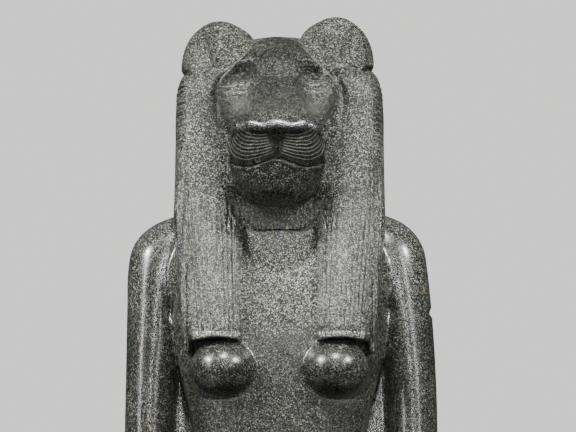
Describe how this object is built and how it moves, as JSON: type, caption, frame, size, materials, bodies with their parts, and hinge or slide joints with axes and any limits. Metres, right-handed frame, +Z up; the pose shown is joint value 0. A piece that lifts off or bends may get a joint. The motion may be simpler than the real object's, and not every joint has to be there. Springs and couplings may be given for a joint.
{
  "type": "seated sekhmet statue",
  "caption": "Seated lioness-headed goddess in dark speckled stone, carved in one with its throne, back pillar and low base.",
  "frame": {"origin": "middle of the flat underside of the base", "axes": "+Z up; the figure looks along -Y, and its left side is at +X"},
  "size_m": [0.556, 0.9802, 2.0448],
  "materials": {
    "granodiorite": "dark grey-green granodiorite with dense pale speckle and a few tan inclusions, ground smooth and half polished"
  },
  "bodies": {
    "root": {"statue": "granodiorite"}
  },
  "joints": []
}
